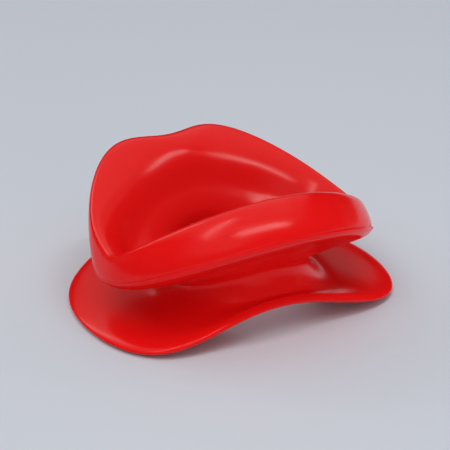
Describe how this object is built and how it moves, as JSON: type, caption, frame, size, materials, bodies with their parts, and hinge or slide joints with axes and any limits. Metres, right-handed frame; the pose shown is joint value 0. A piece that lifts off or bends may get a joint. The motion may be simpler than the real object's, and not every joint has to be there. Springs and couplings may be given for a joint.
{
  "type": "cheek retractor",
  "caption": "Soft lip-shaped mouth opener: false lips, a groove for the wearer's own lips and an arched inner flange with cheek wings round an open throat.",
  "frame": {"origin": "on the rest plane, under the middle of the moulding's bounding box", "axes": "+X across the mouth towards the wearer's left cheek, +Y towards the upper lip, +Z out of the face through the mouth opening"},
  "size_m": [0.092, 0.0786, 0.0379],
  "materials": {
    "red_silicone": "glossy moulded silicone"
  },
  "bodies": {
    "root": {"upper_lip": "red_silicone", "lower_lip": "red_silicone", "lip_groove": "red_silicone", "upper_shield": "red_silicone", "lower_shield": "red_silicone", "left_cheek_wing": "red_silicone", "right_cheek_wing": "red_silicone"}
  },
  "joints": []
}
